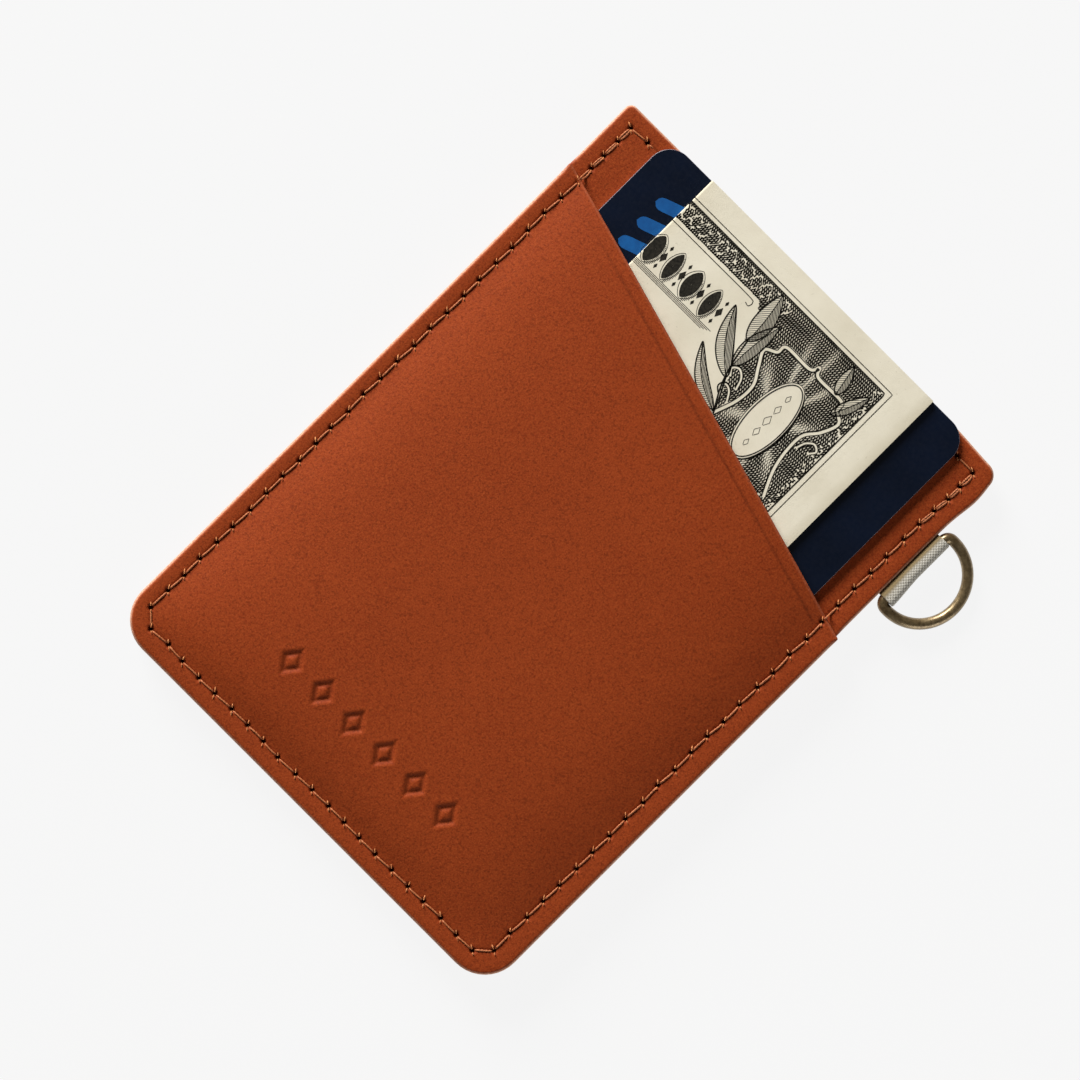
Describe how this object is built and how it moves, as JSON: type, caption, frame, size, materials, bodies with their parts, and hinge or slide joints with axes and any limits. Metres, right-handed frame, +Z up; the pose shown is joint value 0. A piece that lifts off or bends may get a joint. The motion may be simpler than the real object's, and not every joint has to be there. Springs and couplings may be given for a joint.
{
  "type": "minimalist card wallet",
  "caption": "Slim vertical leather card wallet with a slanted front pocket, a rear pocket, stitched edges and a key ring on a woven tape, holding a card and a folded note.",
  "frame": {"origin": "middle of the wallet's back face, in the plane it rests on", "axes": "+Z up through the stack to the front pocket, +Y along the wallet's length to its top edge, +X across to the key ring"},
  "size_m": [0.0757, 0.0934, 0.0064],
  "materials": {
    "leather": "tan full-grain leather with a low waxed sheen and burnished edges",
    "thread": "waxed copper-brown polyester thread",
    "tape": "light grey woven tape",
    "antique_brass": "antique brass, polished on the high spots",
    "card_plastic": "dark navy, satin gloss",
    "chip_contacts": "gold-plated contacts",
    "stripe": "dark magnetic film",
    "paper": "cream cotton paper with dark engraved line work"
  },
  "bodies": {
    "wallet": {"back_pocket_panel": "leather", "back_core_panel": "leather", "front_core_panel": "leather", "front_pocket_panel": "leather", "main_seam_needle_thread": "thread", "main_seam_bobbin_thread": "thread", "top_seam_needle_thread": "thread", "top_seam_bobbin_thread": "thread", "ring_tape": "tape"},
    "ring": {"d_ring": "antique_brass"},
    "card": {"card_body": "card_plastic", "card_chip": "chip_contacts", "card_magnetic_stripe": "stripe"},
    "note": {"folded_note": "paper"}
  },
  "joints": [
    {"name": "ring_hinge", "type": "hinge", "parent": "wallet", "child": "ring", "pos_m": [0.0342, 0.03005, 0.0022], "axis": [0, -1, 0], "range_deg": [-86, 108]},
    {"name": "card_slide", "type": "slide", "parent": "wallet", "child": "card", "axis": [0, 1, 0], "range_m": [0, 0.08]},
    {"name": "note_slide", "type": "slide", "parent": "wallet", "child": "note", "axis": [0, 1, 0], "range_m": [0, 0.055]}
  ]
}
